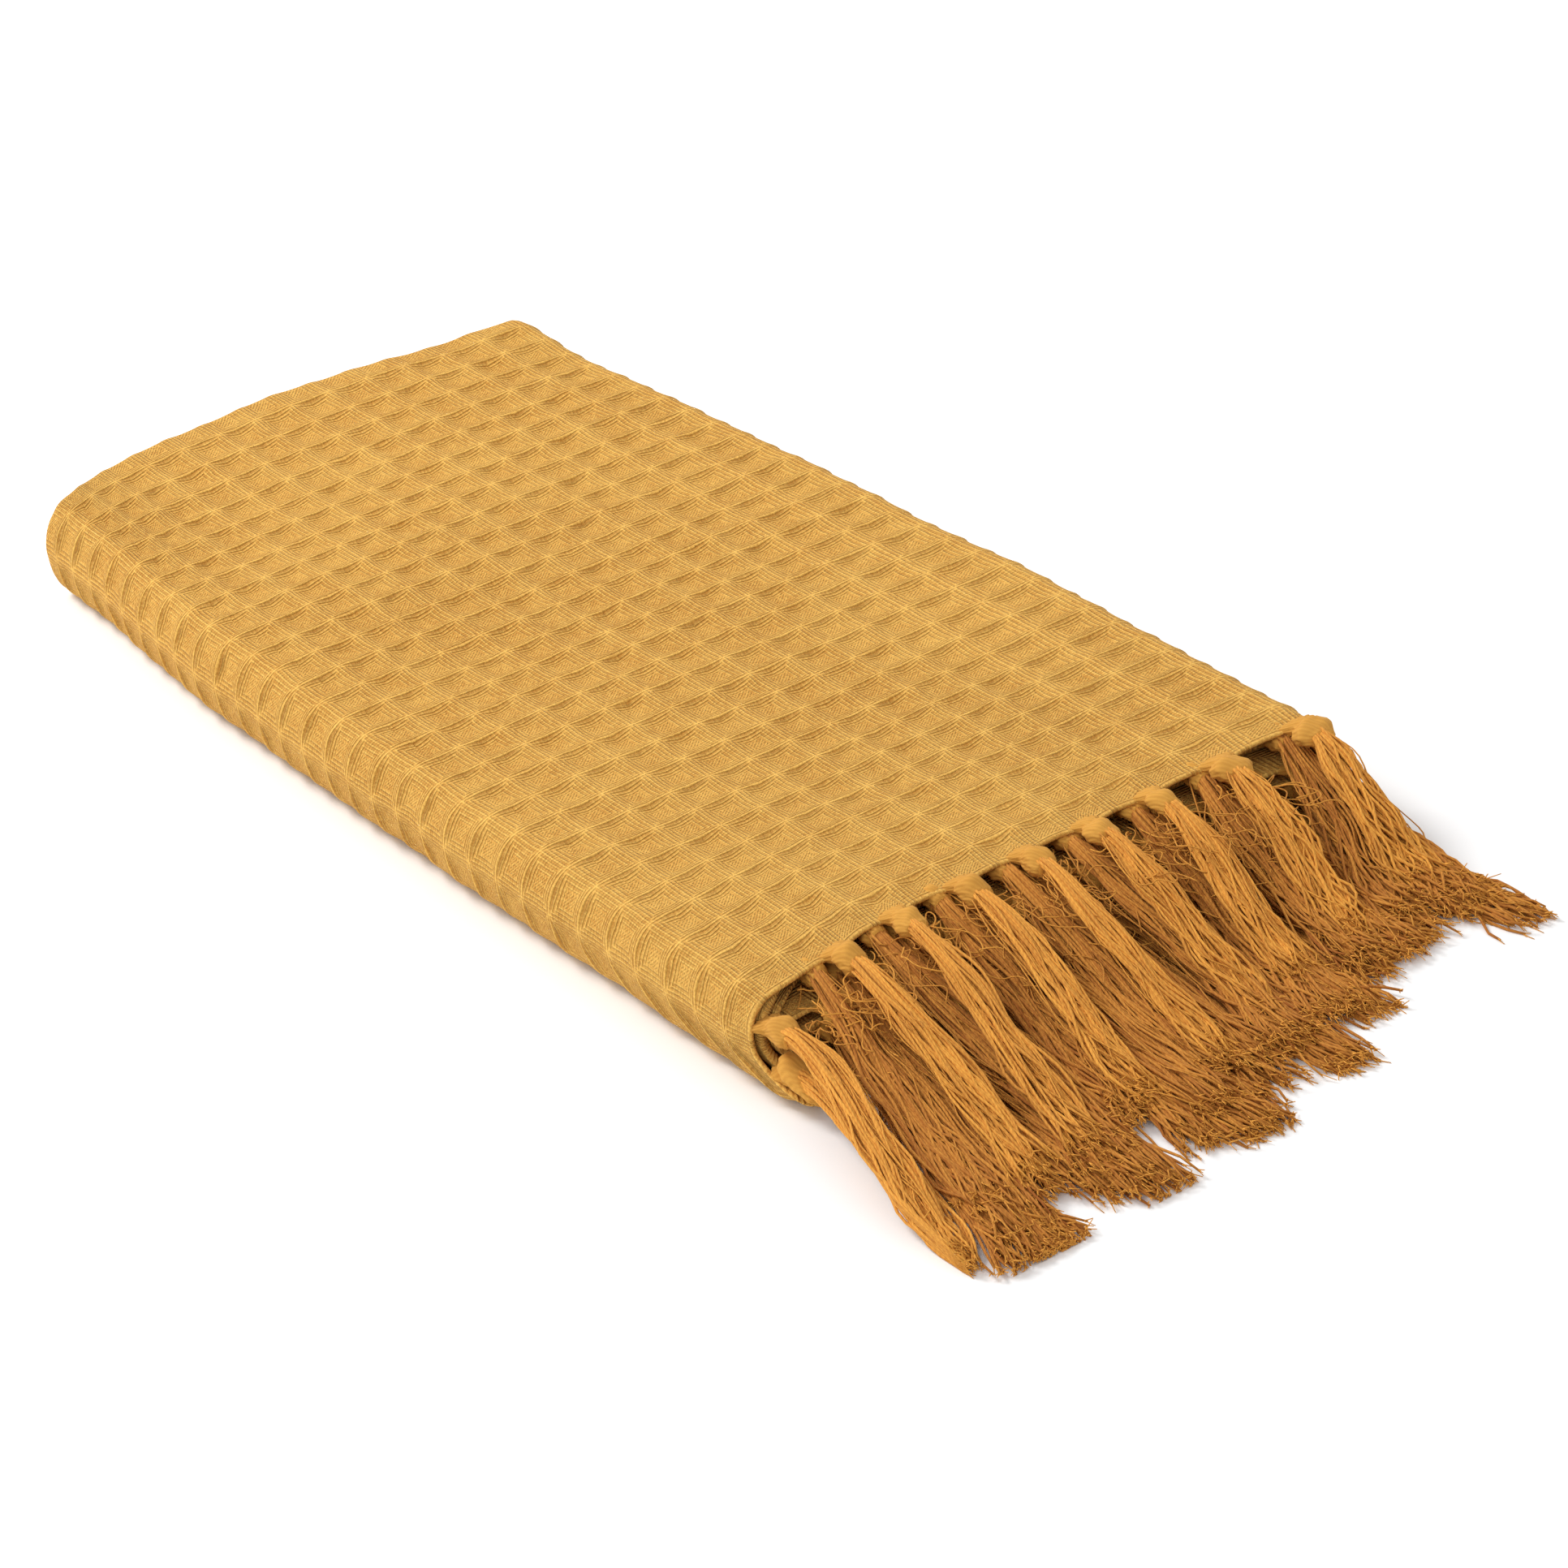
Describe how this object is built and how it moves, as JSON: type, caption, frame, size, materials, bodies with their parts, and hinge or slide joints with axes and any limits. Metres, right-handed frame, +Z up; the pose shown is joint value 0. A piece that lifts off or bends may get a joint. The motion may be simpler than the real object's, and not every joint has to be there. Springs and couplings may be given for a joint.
{
  "type": "folded throw blanket",
  "caption": "Waffle-weave cotton throw, folded into a flat oblong with a rounded spine and a smooth end fold; the knotted tassel fringe lies at the other end.",
  "frame": {"origin": "middle of the footprint, fringe included, on the surface that the throw lies on", "axes": "+X along the folded throw, from the end fold to the fringe; +Y across it, from the rounded spine to the far side; +Z up"},
  "size_m": [0.789, 0.312, 0.0479],
  "materials": {
    "waffle_cloth": "matte",
    "fringe_yarn": "matte"
  },
  "bodies": {
    "lower_leaf": {"panel_5": "waffle_cloth", "panel_6": "waffle_cloth", "panel_7": "waffle_cloth", "panel_8": "waffle_cloth", "spine_lower_1": "waffle_cloth", "spine_lower_2": "waffle_cloth", "spine_lower_3": "waffle_cloth", "spine_lower_4": "waffle_cloth", "end_fold_5_6": "waffle_cloth", "end_fold_7_8": "waffle_cloth", "knots_5": "fringe_yarn", "knots_6": "fringe_yarn", "knots_7": "fringe_yarn", "knots_8": "fringe_yarn", "tassels_5": "fringe_yarn", "tassels_6": "fringe_yarn", "tassels_7": "fringe_yarn", "tassels_8": "fringe_yarn"},
    "upper_leaf": {"panel_1": "waffle_cloth", "panel_2": "waffle_cloth", "panel_3": "waffle_cloth", "panel_4": "waffle_cloth", "spine_upper_1": "waffle_cloth", "spine_upper_2": "waffle_cloth", "spine_upper_3": "waffle_cloth", "spine_upper_4": "waffle_cloth", "end_fold_1_2": "waffle_cloth", "end_fold_3_4": "waffle_cloth", "far_fold_outer": "waffle_cloth", "far_fold_inner": "waffle_cloth", "far_end_fold": "waffle_cloth", "knots_1": "fringe_yarn", "knots_2": "fringe_yarn", "knots_3": "fringe_yarn", "knots_4": "fringe_yarn", "tassels_1": "fringe_yarn", "tassels_2": "fringe_yarn", "tassels_3": "fringe_yarn", "tassels_4": "fringe_yarn"}
  },
  "joints": [
    {"name": "upper_leaf_open", "type": "hinge", "parent": "lower_leaf", "child": "upper_leaf", "pos_m": [-0.0775, -0.1563, 0.02395], "axis": [1, 0, 0], "range_deg": [0, 179]}
  ]
}
